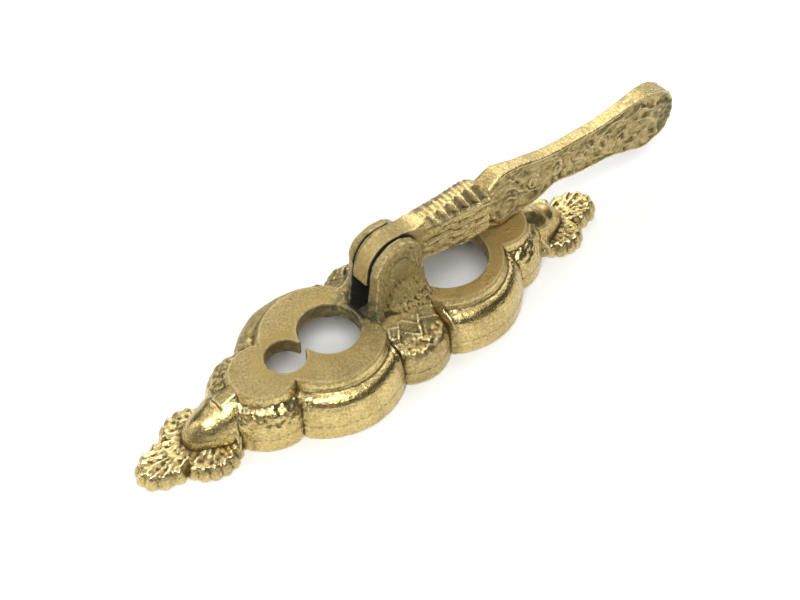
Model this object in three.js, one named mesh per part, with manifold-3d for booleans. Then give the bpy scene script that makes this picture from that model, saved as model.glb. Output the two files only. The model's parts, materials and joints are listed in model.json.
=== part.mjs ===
// A hinged lever handle on an ornamental backplate, in cast brass.
//
// The backplate is one hollow-backed casting: two large and two small scallops in a row, a flat pierced
// table on top, a strap across the middle that rises into two ears, and a rounded boss and a leaf at each
// end. The lever hangs between the ears on a cross pin and lies along the plate at rest.
//
// Millimetres, +Z up, +X along the plate towards the lever's tip. The origin is the middle of the whole
// object's box, on the plane that the plate is mounted on.

import * as THREE from "three";
import { mergeVertices } from "three/addons/utils/BufferGeometryUtils.js";
import Module from "manifold-3d";

// Driving dimensions.
const PLATE_LENGTH = 145; // leaf tip to leaf tip
const LEVER_REACH = 101; // plate's middle to the lever's tip
const TABLE_Z = 14.4; // the flat table's height above the mounting plane
const TABLE_THICKNESS = 4.5;
const WALL = 3.4; // wall of the casting at the mounting plane
const PIVOT = new THREE.Vector2(0.4, 26.6); // x from the plate's middle, and z
const PIN_RADIUS = 3;
const PIN_CLEARANCE = 0.08;
const SLOT_HALF = 3; // half the gap between the ears
const LEVER_SIDE_GAP = 0.3; // between the lever and each ear

// The plate's middle, so that the whole object is centred on the origin.
const PLATE_X = (PLATE_LENGTH / 2 - LEVER_REACH) / 2;

// Scallops of the plate. Each is round in plan, with its centre on the plate's long axis.
const LARGE = { x: 19.4, radius: 20.4, rim: 5.4 };
const SMALL = { x: 37, radius: 12.6, rim: 4.6 };
const MIDDLE = { y: 7.7, radius: 11.4, rim: 7.2, halfWidth: 7.5 };
const STRAP = { half: 7.5, reach: 11.5, z: 13.6 }; // the band from the ears' feet to the middle scallops
const SKIRT_Z = 4.8; // top of the plain skirt at the foot of each scallop
const SKIRT_LEAN = 0.3; // how far the skirt leans in by its top

// The channel between a scallop's round and the table: how far in it starts, turns up and ends as shares of
// the rim's width, and how far below the table the round, the channel and its step lie.
const CHANNEL = { start: 0.78, floor: 0.84, step: 0.9, roundDrop: 2.6, floorDrop: 2.8, stepDrop: 1.3 };

// The table under the ears, and the hollow behind it.
const WAIST = { halfLength: 10, halfWidth: 8 };
const WAIST_HOLLOW = { halfLength: 9, halfWidth: 12.5 };
const HOLLOW_TAPER = 0.6; // how much narrower than the table the hollow ends

// Ears: an arch of this radius over the pin, wider at its foot, whose sides draw in below the shoulder.
const EAR = { radius: 7.5, foot: 8.6, topY: 5.6, footY: 7.2, sinkZ: 11, shoulderDrop: 6 };

// A leaf at each end of the plate has two side lobes and a tip. A lobe's edge is a row of small scallops.
const LEAF = { height: 3.4, scallops: 14, notch: 0.07 };
const SIDE_LOBE = { x: 55.6, y: 4.2, radiusX: 8.6, radiusY: 6.6, turn: 0.25 };
const TIP_LOBE = { x: 63.6, radiusY: 6.4 };

// A round-nosed boss lies over each leaf, with its flat underside inside the leaf.
const BOSS = { x: 46, z: 5.4, reach: 15, halfWidth: 6.9, halfHeight: 6.6, undersideZ: 1, root: 8 };

// How far the leaf and the boss stray sideways from the plate's middle line, at the -X and the +X end.
const STRAY = { "-1": { leaf: 1.6, boss: 0.9 }, "1": { leaf: -1, boss: -0.5 } };

// Holes through the table: a keyhole of two rounds and a neck at one side, one round at the other, and the
// slot between the ears' feet.
const KEYHOLE = { large: { x: -17.3, radius: 7.7 }, small: { x: -30.4, radius: 5 }, neckHalf: 1.2 };
const ROUND_HOLE = { x: 19.6, radius: 11.1 };
const SLOT = { from: -8.4, to: 7.2 };

// Lever. Its ribbed neck is a row of beads on an axis that falls towards the blade.
const EYE_RADIUS = 7.2;
const NECK_TOP = { from: [8, 33.2], to: [31.5, 31.2] };
const NECK_UNDERSIDE = { heel: [-7.2, 24.2], dip: [-2, 19.5], from: [8, 21.6], to: [31.5, 18.2] };
const BEADS = {
  count: 9,
  from: [12, 27.6],
  to: [30, 26.4],
  halfLength: 1.8,
  halfWidth: 3.7,
  halfHeight: 6.6,
};
const BLADE_HALF = 1.9;

const PAST = 1; // how far a cutting shape runs past the face it opens
const BEYOND = 30; // further out than any part of the casting

const wasm = await Module();
wasm.setup();

// A closed geometry as a solid that can be joined and cut.
function solidOf(geometry) {
  const bare = geometry.clone();
  bare.deleteAttribute("normal");
  bare.deleteAttribute("uv");
  const merged = mergeVertices(bare, 1e-4);
  return new wasm.Manifold(
    new wasm.Mesh({
      numProp: 3,
      vertProperties: merged.attributes.position.array,
      triVerts: new Uint32Array(merged.index.array),
    }),
  );
}

// A solid back as a geometry with flat-shaded normals.
function geometryOf(solid) {
  const mesh = solid.getMesh();
  const geometry = new THREE.BufferGeometry();
  geometry.setAttribute("position", new THREE.BufferAttribute(mesh.vertProperties, 3));
  geometry.setIndex(new THREE.BufferAttribute(mesh.triVerts, 1));
  const flat = geometry.toNonIndexed();
  flat.computeVertexNormals();
  return flat;
}

const joined = (solids) => solids.reduce((whole, piece) => whole.add(piece));

// A box between two corners.
function block(low, high) {
  const size = high.map((value, axis) => value - low[axis]);
  const geometry = new THREE.BoxGeometry(...size);
  geometry.translate(...high.map((value, axis) => (value + low[axis]) / 2));
  return solidOf(geometry);
}

// An upright cylinder or cone about (x, y), from one height to another.
function post(x, y, bottom, top, radiusBottom, radiusTop = radiusBottom, segments = 40) {
  const geometry = new THREE.CylinderGeometry(radiusTop, radiusBottom, top - bottom, segments);
  geometry.rotateX(Math.PI / 2);
  geometry.translate(x, y, (top + bottom) / 2);
  return solidOf(geometry);
}

// A cylinder about an axis that runs across the plate at (x, z).
function crossRod(x, z, radius, from, to, segments = 36) {
  const geometry = new THREE.CylinderGeometry(radius, radius, to - from, segments);
  geometry.translate(0, (from + to) / 2, 0);
  geometry.translate(x, 0, z);
  return solidOf(geometry);
}

// An outline in X and Z, extruded across the plate between two values of y.
function slab(outline, from, to, curveSegments) {
  const geometry = new THREE.ExtrudeGeometry(outline, {
    depth: to - from,
    bevelEnabled: false,
    curveSegments,
  });
  geometry.rotateX(Math.PI / 2);
  geometry.translate(0, to, 0);
  return solidOf(geometry);
}

// One scallop, turned about an upright axis: a plain skirt, a full round, a channel and the flat table.
function scallop(x, y, { radius, rim }, segments) {
  const profile = new THREE.Path();
  const { start, floor, step, roundDrop, floorDrop, stepDrop } = CHANNEL;
  const channelRadius = radius - rim * start;
  const roundHeight = TABLE_Z - roundDrop - SKIRT_Z;
  profile.moveTo(0, 0);
  profile.lineTo(radius, 0);
  profile.lineTo(radius - SKIRT_LEAN, SKIRT_Z);
  profile.absellipse(
    channelRadius,
    SKIRT_Z,
    radius - SKIRT_LEAN - channelRadius,
    roundHeight,
    0,
    Math.PI / 2,
    false,
  );
  profile.lineTo(radius - rim * floor, TABLE_Z - floorDrop);
  profile.lineTo(radius - rim * step, TABLE_Z - stepDrop);
  profile.lineTo(radius - rim, TABLE_Z);
  profile.lineTo(0, TABLE_Z);
  const geometry = new THREE.LatheGeometry(profile.getPoints(3), segments);
  geometry.rotateX(Math.PI / 2);
  geometry.translate(x, y, 0);
  return solidOf(geometry);
}

// The strap's scallop at one side of the plate, cut to the strap's width.
function middleScallop(side) {
  const { y, halfWidth } = MIDDLE;
  const whole = scallop(0, side * y, MIDDLE, 40);
  return whole.intersect(block([-halfWidth, -BEYOND, -PAST], [halfWidth, BEYOND, TABLE_Z + PAST]));
}

// A lobe of a leaf as a round whose edge is cut into small scallops.
function leafLobe(x, y, radiusX, radiusY, turn) {
  const outline = new THREE.Shape();
  const { height, scallops, notch } = LEAF;
  const steps = scallops * 4;
  for (let step = 0; step < steps; step += 1) {
    const angle = (step / steps) * 2 * Math.PI;
    const bump = 1 - notch * (1 - Math.abs(Math.cos((angle * scallops) / 2)));
    const across = new THREE.Vector2(
      radiusX * bump * Math.cos(angle),
      radiusY * bump * Math.sin(angle),
    ).rotateAround(new THREE.Vector2(), turn);
    if (step === 0) outline.moveTo(x + across.x, y + across.y);
    else outline.lineTo(x + across.x, y + across.y);
  }
  return solidOf(new THREE.ExtrudeGeometry(outline, { depth: height, bevelEnabled: false }));
}

// The three-lobed leaf at the end of the plate that `end` names, 1 or -1.
function leaf(end) {
  const { x, y, radiusX, radiusY, turn } = SIDE_LOBE;
  const stray = STRAY[end].leaf;
  const tipRadius = PLATE_LENGTH / 2 - TIP_LOBE.x;
  return joined([
    leafLobe(end * x, stray - y, radiusX, radiusY, -end * turn),
    leafLobe(end * x, stray + y, radiusX, radiusY, end * turn),
    leafLobe(end * TIP_LOBE.x, stray, tipRadius, TIP_LOBE.radiusY, 0),
  ]);
}

// The boss at the end of the plate that `end` names.
function boss(end) {
  const { x, z, reach, halfWidth, halfHeight, undersideZ, root } = BOSS;
  const geometry = new THREE.SphereGeometry(1, 20, 14);
  geometry.scale(reach, halfWidth, halfHeight);
  geometry.translate(end * x, STRAY[end].boss, z);
  const inner = end * (x - root);
  const outer = end * (x + reach + PAST);
  const keep = block(
    [Math.min(inner, outer), -BEYOND, undersideZ],
    [Math.max(inner, outer), BEYOND, TABLE_Z],
  );
  return solidOf(geometry).intersect(keep);
}

// Both ears as one block before the slot is cut: an arch seen from the side, wider at its foot.
function earBlock() {
  const { radius, foot, topY, footY, sinkZ, shoulderDrop } = EAR;
  const arch = new THREE.Shape();
  arch.moveTo(PIVOT.x - foot, sinkZ);
  arch.lineTo(PIVOT.x + foot, sinkZ);
  arch.lineTo(PIVOT.x + radius, PIVOT.y);
  arch.absarc(PIVOT.x, PIVOT.y, radius, 0, Math.PI, false);
  arch.closePath();
  const span = slab(arch, -footY, footY, 16);

  const section = new THREE.Shape();
  const overTop = PIVOT.y + radius + PAST;
  const shoulderZ = PIVOT.y - shoulderDrop;
  section.moveTo(-footY, sinkZ);
  section.lineTo(footY, sinkZ);
  section.lineTo(topY, shoulderZ);
  section.lineTo(topY, overTop);
  section.lineTo(-topY, overTop);
  section.lineTo(-topY, shoulderZ);
  section.closePath();
  const length = 2 * (foot + PAST);
  const geometry = new THREE.ExtrudeGeometry(section, { depth: length, bevelEnabled: false });
  geometry.rotateX(Math.PI / 2);
  geometry.rotateZ(Math.PI / 2);
  geometry.translate(PIVOT.x - length / 2, 0, 0);
  return span.intersect(solidOf(geometry));
}

// The space behind the table, open at the back.
function hollow() {
  const top = TABLE_Z - TABLE_THICKNESS;
  const lobe = ({ x, radius, rim }, side) =>
    post(side * x, 0, -PAST, top, radius - WALL, radius - rim - HOLLOW_TAPER);
  const { halfLength, halfWidth } = WAIST_HOLLOW;
  const waist = block([-halfLength, -halfWidth, -PAST], [halfLength, halfWidth, top]);
  return joined([lobe(LARGE, 1), lobe(LARGE, -1), lobe(SMALL, 1), lobe(SMALL, -1), waist]);
}

// The keyhole and the round hole, as one cutting solid.
function piercings() {
  const { large, small, neckHalf } = KEYHOLE;
  const over = TABLE_Z + PAST;
  return joined([
    post(large.x, 0, -PAST, over, large.radius),
    post(small.x, 0, -PAST, over, small.radius),
    block([small.x, -neckHalf, -PAST], [large.x, neckHalf, over]),
    post(ROUND_HOLE.x, 0, -PAST, over, ROUND_HOLE.radius),
  ]);
}

function slotBetweenEars() {
  const overEars = PIVOT.y + EAR.radius + PAST;
  return joined([
    block([SLOT.from, -SLOT_HALF, -PAST], [SLOT.to, SLOT_HALF, TABLE_Z + PAST]),
    block([-BEYOND, -SLOT_HALF, TABLE_Z], [BEYOND, SLOT_HALF, overEars]),
  ]);
}

function backplate() {
  const casting = joined([
    scallop(LARGE.x, 0, LARGE, 56),
    scallop(-LARGE.x, 0, LARGE, 56),
    scallop(SMALL.x, 0, SMALL, 44),
    scallop(-SMALL.x, 0, SMALL, 44),
    middleScallop(1),
    middleScallop(-1),
    block([-STRAP.half, -STRAP.reach, 0], [STRAP.half, STRAP.reach, STRAP.z]),
    block([-WAIST.halfLength, -WAIST.halfWidth, 0], [WAIST.halfLength, WAIST.halfWidth, TABLE_Z]),
    leaf(1),
    leaf(-1),
    boss(1),
    boss(-1),
    earBlock(),
  ]);
  const bore = crossRod(PIVOT.x, PIVOT.y, PIN_RADIUS + PIN_CLEARANCE, -BEYOND, BEYOND);
  return casting.subtract(hollow()).subtract(piercings()).subtract(slotBetweenEars()).subtract(bore);
}

// The eye and the neck's core, seen from the side.
function eyeOutline() {
  const outline = new THREE.Shape();
  outline.moveTo(...NECK_TOP.to);
  outline.lineTo(...NECK_TOP.from);
  outline.absarc(PIVOT.x, PIVOT.y, EYE_RADIUS, Math.PI * 0.35, Math.PI * 0.94, false);
  outline.lineTo(...NECK_UNDERSIDE.heel);
  outline.quadraticCurveTo(...NECK_UNDERSIDE.dip, ...NECK_UNDERSIDE.from);
  outline.lineTo(...NECK_UNDERSIDE.to);
  outline.closePath();
  return outline;
}

// The blade, seen from the side: a hump behind the neck, a waist and a rounded fish-tail end.
function bladeOutline() {
  const top = [
    [35.5, 31.4], [38, 32.4], [44, 31], [53, 28.6], [64, 27.5], [75, 27.5], [84, 28.2], [90, 28.7],
  ];
  const underside = [
    [90.4, 9.7], [80, 12.9], [70, 14.3], [64, 15.2], [57, 16.9], [50, 15.5], [44, 14.9],
  ];
  const outline = new THREE.Shape();
  outline.moveTo(29, 29.5);
  outline.splineThru(top.map(([x, z]) => new THREE.Vector2(x, z)));
  outline.bezierCurveTo(95, 28.8, LEVER_REACH, 24, LEVER_REACH, 18);
  outline.bezierCurveTo(LEVER_REACH, 12.5, 95, 9.3, 90.4, 9.7);
  outline.splineThru(underside.slice(1).map(([x, z]) => new THREE.Vector2(x, z)));
  outline.lineTo(37, 14.8);
  outline.lineTo(29, 17.6);
  outline.closePath();
  return outline;
}

// The beads that make the neck's ribs.
function ribs() {
  const { count, from, to, halfLength, halfWidth, halfHeight } = BEADS;
  const beads = [];
  for (let rib = 0; rib < count; rib += 1) {
    const along = rib / (count - 1);
    const geometry = new THREE.SphereGeometry(1, 12, 8);
    geometry.scale(halfLength, halfWidth, halfHeight);
    geometry.translate(
      THREE.MathUtils.lerp(from[0], to[0], along),
      0,
      THREE.MathUtils.lerp(from[1], to[1], along),
    );
    beads.push(solidOf(geometry));
  }
  return joined(beads);
}

function lever() {
  const eyeHalf = SLOT_HALF - LEVER_SIDE_GAP;
  const body = joined([
    slab(eyeOutline(), -eyeHalf, eyeHalf, 12),
    slab(bladeOutline(), -BLADE_HALF, BLADE_HALF, 4),
    ribs(),
  ]);
  return body.subtract(crossRod(PIVOT.x, PIVOT.y, PIN_RADIUS + PIN_CLEARANCE, -BEYOND, BEYOND));
}

function pivotPin() {
  return crossRod(PIVOT.x, PIVOT.y, PIN_RADIUS, -EAR.topY, EAR.topY);
}

const agedBrass = (color, roughness) =>
  new THREE.MeshStandardMaterial({ color, roughness, metalness: 1 });

function named(name, solid, material) {
  const mesh = new THREE.Mesh(geometryOf(solid), material);
  mesh.name = name;
  return mesh;
}

const plateFrame = new THREE.Group();
plateFrame.position.x = PLATE_X;
plateFrame.add(
  named("backplate", backplate(), agedBrass(0xa8873c, 0.42)),
  named("lever", lever(), agedBrass(0xae9148, 0.4)),
  named("pivot_pin", pivotPin(), agedBrass(0x9a8446, 0.45)),
);

const handle = new THREE.Group();
handle.add(plateFrame);
export default handle;
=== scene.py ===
# Looks of the hinged lever handle: sculpted brass castings, a filed pin, a floor, lights and a camera.
#
# The castings are sculpted as signed distances. A casting is a function that says how far a point is
# from its surface, in millimetres, with x from the plate's middle. A grid of samples gives a mesh, each
# vertex then slides onto the exact surface, and the mesh goes to Blender in metres, in the CAD frame.

import itertools
import json
import math
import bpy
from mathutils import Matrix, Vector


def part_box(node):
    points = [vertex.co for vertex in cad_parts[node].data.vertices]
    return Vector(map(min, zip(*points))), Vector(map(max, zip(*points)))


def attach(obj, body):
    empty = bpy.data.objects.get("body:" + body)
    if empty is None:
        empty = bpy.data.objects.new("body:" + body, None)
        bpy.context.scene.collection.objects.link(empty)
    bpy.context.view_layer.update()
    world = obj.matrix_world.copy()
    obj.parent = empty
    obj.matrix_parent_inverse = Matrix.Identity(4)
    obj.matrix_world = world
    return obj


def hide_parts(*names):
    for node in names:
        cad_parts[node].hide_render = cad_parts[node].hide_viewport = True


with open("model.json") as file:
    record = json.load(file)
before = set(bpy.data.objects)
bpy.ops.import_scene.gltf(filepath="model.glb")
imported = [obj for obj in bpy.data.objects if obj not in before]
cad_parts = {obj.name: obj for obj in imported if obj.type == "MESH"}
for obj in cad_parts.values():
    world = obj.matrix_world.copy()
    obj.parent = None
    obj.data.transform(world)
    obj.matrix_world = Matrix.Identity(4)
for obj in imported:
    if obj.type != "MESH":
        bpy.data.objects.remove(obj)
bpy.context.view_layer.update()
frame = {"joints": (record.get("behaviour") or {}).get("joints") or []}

from concurrent.futures import ThreadPoolExecutor
from types import SimpleNamespace as Sizes

import bmesh
import bpy
import numpy as np
from mathutils import Matrix, Vector

MM = 0.001

# ---------------- sizes, in millimetres, from the frame

PLATE_LOW, PLATE_HIGH = (np.array(corner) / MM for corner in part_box("backplate"))
LEVER_LOW, LEVER_HIGH = (np.array(corner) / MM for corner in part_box("lever"))
PIN_LOW, PIN_HIGH = (np.array(corner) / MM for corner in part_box("pivot_pin"))

PLATE_X = (PLATE_LOW[0] + PLATE_HIGH[0]) / 2
HALF_LENGTH = (PLATE_HIGH[0] - PLATE_LOW[0]) / 2
HALF_WIDTH = (PLATE_HIGH[1] - PLATE_LOW[1]) / 2
LEVER_TIP = LEVER_HIGH[0] - PLATE_X
PIVOT_X = frame["joints"][0]["pos_m"][0] / MM - PLATE_X
PIVOT_Z = frame["joints"][0]["pos_m"][2] / MM
PIN_RADIUS = (PIN_HIGH[0] - PIN_LOW[0]) / 2
EAR_RADIUS = PLATE_HIGH[2] - PIVOT_Z

TABLE_Z = 14.4
TABLE_UNDERSIDE = 9.9
SKIRT_TOP = 3.7  # every scallop's plain skirt ends here and its round begins
RIM = 5.4  # from a scallop's foot to the edge of the table
# "table" is the flat's radius. On the far side a scallop is wider by "far", and its outer part by
# "outer" more.
LARGE = Sizes(x=19.4, radius=HALF_WIDTH + 0.1, table=15.0, far=0.8, outer=0.9)
SMALL = Sizes(x=37.0, radius=12.7, table=7.9, far=1.3, outer=0.5)
MIDDLE = Sizes(y=7.7, radius=11.4, half=7.5)
SLOT_HALF = 3.0
PIN_GAP = 0.06  # between the pin and its bores

# A number for each kind of random relief, so that no two are alike. A kind's layers add to it.
SEEDS = {"scallop_blows": 11, "scallop_waves": 13, "dents": 15, "fine_dents": 16, "strap_blows": 21,
         "side_lobe": 31, "tip_lobe": 41, "boss": 51, "ear_blows": 61, "ear_grain": 62, "ear_edge": 63,
         "ear_fine_edge": 64, "arch_scores": 65, "foot_streaks": 66, "folds": 71, "ground": 72,
         "stroke_bend": 73, "strokes": 74, "lever_edge": 75, "stroke_grain": 76,
         "lever_fine_edge": 77, "scroll_bend_x": 78, "scroll_bend_z": 79}

# ---------------- numeric helpers


def blend_min(a, b, width):
    """The smaller of two distances, rounded where they meet."""
    share = np.clip(0.5 + 0.5 * (b - a) / width, 0.0, 1.0)
    return b + (a - b) * share - width * share * (1.0 - share)


def blend_max(a, b, width):
    """The larger of two distances, rounded where they meet."""
    return -blend_min(-a, -b, width)


def step_up(value, low, high):
    """0 below low, 1 above high, smooth between."""
    share = np.clip((value - low) / (high - low), 0.0, 1.0)
    return share * share * (3.0 - 2.0 * share)


def step_down(value, low, high):
    """1 below low, 0 above high, smooth between."""
    return 1.0 - step_up(value, low, high)


def inside(value, low, high, soft=0.6):
    """1 where low < value < high, fading over `soft` to each side of both ends."""
    return step_up(value, low - soft, low + soft) * step_down(value, high - soft, high + soft)


def ridge(distance, width):
    """A smooth bump of height 1 along the line where distance is 0."""
    return np.exp(-((distance / width) ** 2))


NOISE_VALUES = 4096
NOISE_PRIMES = (1619, 31337, 6971)  # spread neighbouring cells over the values


def noise(x, y, z, size, kind, layer=0):
    """Smooth noise from -1 to 1, with features about `size` across. kind is one of SEEDS."""
    table = np.random.default_rng(SEEDS[kind] + layer).uniform(-1.0, 1.0, NOISE_VALUES)
    cells, shares = [], []
    for value in (x, y, z):
        scaled = np.asarray(value, dtype=np.float64) / size
        cell = np.floor(scaled)
        share = scaled - cell
        cells.append(cell.astype(np.int64))
        shares.append(share * share * (3.0 - 2.0 * share))
    total = 0.0
    for corner in itertools.product((0, 1), repeat=3):
        key = sum((cell + c) * prime for cell, c, prime in zip(cells, corner, NOISE_PRIMES))
        weight = 1.0
        for share, c in zip(shares, corner):
            weight = weight * (share if c else 1.0 - share)
        total = total + weight * table[key % NOISE_VALUES]
    return total


def smooth_line(points, per_span):
    """A Catmull-Rom curve through the points."""
    points = np.array(points, dtype=float)
    padded = np.vstack([2 * points[0] - points[1], points, 2 * points[-1] - points[-2]])
    line = []
    for a, b, c, d in zip(padded, padded[1:], padded[2:], padded[3:]):
        for t in np.arange(per_span) / per_span:
            cubic = (3 * b - a - 3 * c + d) * t + (2 * a - 5 * b + 4 * c - d)
            line.append(b + 0.5 * t * ((c - a) + t * cubic))
    line.append(points[-1])
    return np.array(line)


TINY = 1e-12  # keeps a division by a length of nothing finite


def segment_distance(u, v, start, end):
    """Distance from (u, v) to a segment."""
    du, dv = end[0] - start[0], end[1] - start[1]
    along = ((u - start[0]) * du + (v - start[1]) * dv) / (du * du + dv * dv + TINY)
    along = np.clip(along, 0.0, 1.0)
    return np.hypot(u - start[0] - along * du, v - start[1] - along * dv)


def line_distance(u, v, line):
    """Distance from (u, v) to an open line of points."""
    nearest = np.inf
    for start, end in zip(line, line[1:]):
        nearest = np.minimum(nearest, segment_distance(u, v, start, end))
    return nearest


def outline_distance(u, v, outline):
    """Signed distance from (u, v) to a closed outline, negative inside."""
    nearest = line_distance(u, v, np.vstack([outline, outline[:1]]))
    inside = np.zeros(np.broadcast(u, v).shape, dtype=bool)
    for (u0, v0), (u1, v1) in zip(outline, np.roll(outline, -1, axis=0)):
        if v0 == v1:
            continue
        crosses = (v0 > v) != (v1 > v)
        inside ^= crosses & (u < u0 + (v - v0) * (u1 - u0) / (v1 - v0))
    return np.where(inside, -nearest, nearest)


def off_pivot(x, z):
    """Distance from the pin's axis."""
    return np.hypot(x - PIVOT_X, z - PIVOT_Z)


# ---------------- from a distance to a mesh


def sample(distance, low, high, step):
    """The distance at every point of a grid that reaches two steps past the box, and where it starts."""
    axes = [np.arange(lo - 2 * step, hi + 2.5 * step, step) for lo, hi in zip(low, high)]
    x, y, z = np.meshgrid(*axes, indexing="ij", sparse=True)
    return distance(x, y, z).astype(np.float32), np.array([axis[0] for axis in axes])


def surface_net(field, origin, step):
    """Vertices and quads of the surface where a sampled distance is zero."""
    inside = field < 0
    size = np.array(field.shape) - 1
    corners = list(itertools.product((0, 1), repeat=3))
    count = np.zeros(size, dtype=np.int8)
    for i, j, k in corners:
        count += inside[i:i + size[0], j:j + size[1], k:k + size[2]]
    crossed = (count > 0) & (count < 8)
    cells = np.argwhere(crossed)
    index = np.full(crossed.shape, -1, dtype=np.int64)
    index[crossed] = np.arange(len(cells))

    total = np.zeros((len(cells), 3))
    hits = np.zeros(len(cells))
    for a in corners:
        for axis in range(3):
            if a[axis]:
                continue
            b = tuple(value + (1 if n == axis else 0) for n, value in enumerate(a))
            at_a = field[tuple((cells + a).T)]
            at_b = field[tuple((cells + b).T)]
            cross = (at_a < 0) != (at_b < 0)
            share = np.where(cross, at_a / np.where(cross, at_a - at_b, 1.0), 0.0)
            point = np.array(a)[None, :] + np.eye(3)[axis][None, :] * share[:, None]
            total += point * cross[:, None]
            hits += cross
    points = origin + step * (cells + total / hits[:, None])

    quads = []
    for axis in range(3):
        u, v = (axis + 1) % 3, (axis + 2) % 3
        near = [slice(1, -1)] * 3
        far = [slice(1, -1)] * 3
        near[axis], far[axis] = slice(0, -1), slice(1, None)
        leaving = inside[tuple(near)]
        changed = np.argwhere(leaving != inside[tuple(far)])
        outward = leaving[tuple(changed.T)]
        place = changed + [0 if n == axis else 1 for n in range(3)]
        step_u, step_v = np.eye(3, dtype=int)[u], np.eye(3, dtype=int)[v]
        ring = [place - step_u - step_v, place - step_v, place, place - step_u]
        quad = np.stack([index[tuple(cell.T)] for cell in ring], axis=1)
        quads.append(np.where(outward[:, None], quad, quad[:, ::-1]))
    return points, np.vstack(quads)


PARTS, WORKERS = 16, 4


def in_parts(distance, points):
    """The distance at many points, worked out in parts side by side."""
    parts = np.array_split(points, PARTS)
    with ThreadPoolExecutor(WORKERS) as pool:
        return np.concatenate(list(pool.map(lambda part: distance(*part.T), parts)))


def gradient(points, distance, reach=0.04):
    """The distance's slope at each point, by differences."""
    slope = np.empty_like(points)
    for axis in range(3):
        shift = np.zeros(3)
        shift[axis] = reach
        ahead, behind = in_parts(distance, points + shift), in_parts(distance, points - shift)
        slope[:, axis] = (ahead - behind) / (2 * reach)
    return slope


LEAST_STEEPNESS = 0.05
LONGEST_MOVE = 0.4  # of a grid step, in one round of settling


def settle(points, distance, step, rounds=3):
    """Slides vertices along the slope onto the exact surface."""
    slope = gradient(points, distance)
    steepness = np.maximum((slope ** 2).sum(axis=1), LEAST_STEEPNESS)
    for _ in range(rounds):
        move = slope * (in_parts(distance, points) / steepness)[:, None]
        length = np.maximum(np.linalg.norm(move, axis=1), TINY)
        points = points - move * np.minimum(1.0, LONGEST_MOVE * step / length)[:, None]
    return points


# ---------------- the plate

# Height of a scallop's surface at each distance inside its foot: a plain skirt, a round, a cove, a small
# ledge, and the lip of the table. The middle scallops lie between the large and the small ones.
RIM_INSET = [-3.0, 0.0, 0.1, 0.3, 0.6, 1.0, 1.5, 2.1, 2.8, 3.5, 4.1, 4.4, 4.6, 4.8, 4.95, 5.1, 5.3,
             5.6, 40.0]
LARGE_RIM = [-60.0, 0.0, 3.5, 6.2, 7.5, 8.6, 9.6, 10.4, 11.0, 11.3, 11.45, 11.7, 12.2, 12.5, 13.1, 13.4,
             14.1, TABLE_Z, TABLE_Z]
SMALL_RIM = [-60.0, 0.0, 3.5, 6.7, 7.8, 8.7, 9.5, 10.2, 10.8, 11.2, 11.6, 11.9, 12.4, 12.9, 13.5, 13.8,
             14.3, TABLE_Z, TABLE_Z]
MIDDLE_RIM = [(large + small) / 2 for large, small in zip(LARGE_RIM, SMALL_RIM)]
ROUND_END = 11  # how many of these points reach the top of the round
ROUND_START = (0.3, 1.2)  # insets over which the relief of a round comes in
ROUND_STOP = (4.4, 4.8)  # insets over which it ends, under the lip
FAR_SIDE = (-2.0, 7.0)  # y over which the far rim grows wider
OUTER_PART = (0.0, 8.0)  # distance past a scallop's middle over which its outer part does


def scallop_inset(across, y, scallop):
    """How far a point is inside a scallop's foot: RIM at the table's edge."""
    outer = scallop.outer * step_up(across - scallop.x, *OUTER_PART)
    from_middle = np.hypot(across - scallop.x, y)
    foot = scallop.radius + step_up(y, *FAR_SIDE) * (scallop.far + outer) - from_middle
    lip = from_middle - scallop.table
    return np.where(lip > 0, RIM * foot / np.maximum(foot + lip, 1.0), RIM - lip)


def scallop_insets(x, y):
    """How far a point is inside the large and the small scallops."""
    across = np.abs(x)
    return scallop_inset(across, y, LARGE), scallop_inset(across, y, SMALL)


BROAD_BLOW, FINE_BLOW = 0.6, 0.5
FINE_SIZE = 0.55  # of the broad blows' size


def hammered(x, y, size, kind):
    """Blows of a round punch: rounded bumps and pits."""
    broad = noise(x, y, 0, size, kind)
    return BROAD_BLOW * broad + FINE_BLOW * noise(x, y, 0, size * FINE_SIZE, kind, 1)


CREASE = Sizes(half=0.9, depth=0.32, rough_reach=3.4)
BLOWS = Sizes(size=1.2, height=0.42, calm=0.16, by_strap=0.7)
WAVES = Sizes(size=3.2, height=0.12)


def scallops(x, y):
    """Height of the large and small scallops, with a crease between them."""
    large, small = scallop_insets(x, y)
    inset = np.maximum(large, small)
    crease = ridge(large - small, CREASE.half) * step_up(RIM - 0.1 - inset, 0.0, 1.0)
    inset = inset - CREASE.depth * crease
    on_small = step_up(small - large, -0.6, 0.6)
    height = np.interp(inset, RIM_INSET, LARGE_RIM)
    height = height + on_small * (np.interp(inset, RIM_INSET, SMALL_RIM) - height)
    on_round = step_up(inset, *ROUND_START) * step_down(inset, *ROUND_STOP)
    near_crease = ridge(large - small, CREASE.rough_reach)
    near_strap = BLOWS.by_strap * step_down(np.abs(x), 8.0, 13.0)
    rough = BLOWS.calm + (1.0 - BLOWS.calm) * np.maximum(near_crease, near_strap)
    punched = np.where(small > large, 1.0, rough)
    blow = hammered(x, y, BLOWS.size, "scallop_blows")
    wave = noise(x, y, 0, WAVES.size, "scallop_waves")
    return height + on_round * (punched * BLOWS.height * blow + WAVES.height * wave)


# How the strap falls from the table's edge, and the relief on its round.
STRAP_OUT = [0.0, 7.6, 8.6, 9.8, 11.0, 12.2, 13.4, 14.6, 40.0]
STRAP_FALL = [TABLE_Z, 14.3, 13.6, 12.5, 11.3, 10.5, 10.1, 9.9, 9.7]
STRAP_MARKS = Sizes(blow_size=1.1, blows=0.28, lines=0.5, line_width=0.36, incised=0.4,
                    incised_width=0.22)


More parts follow.
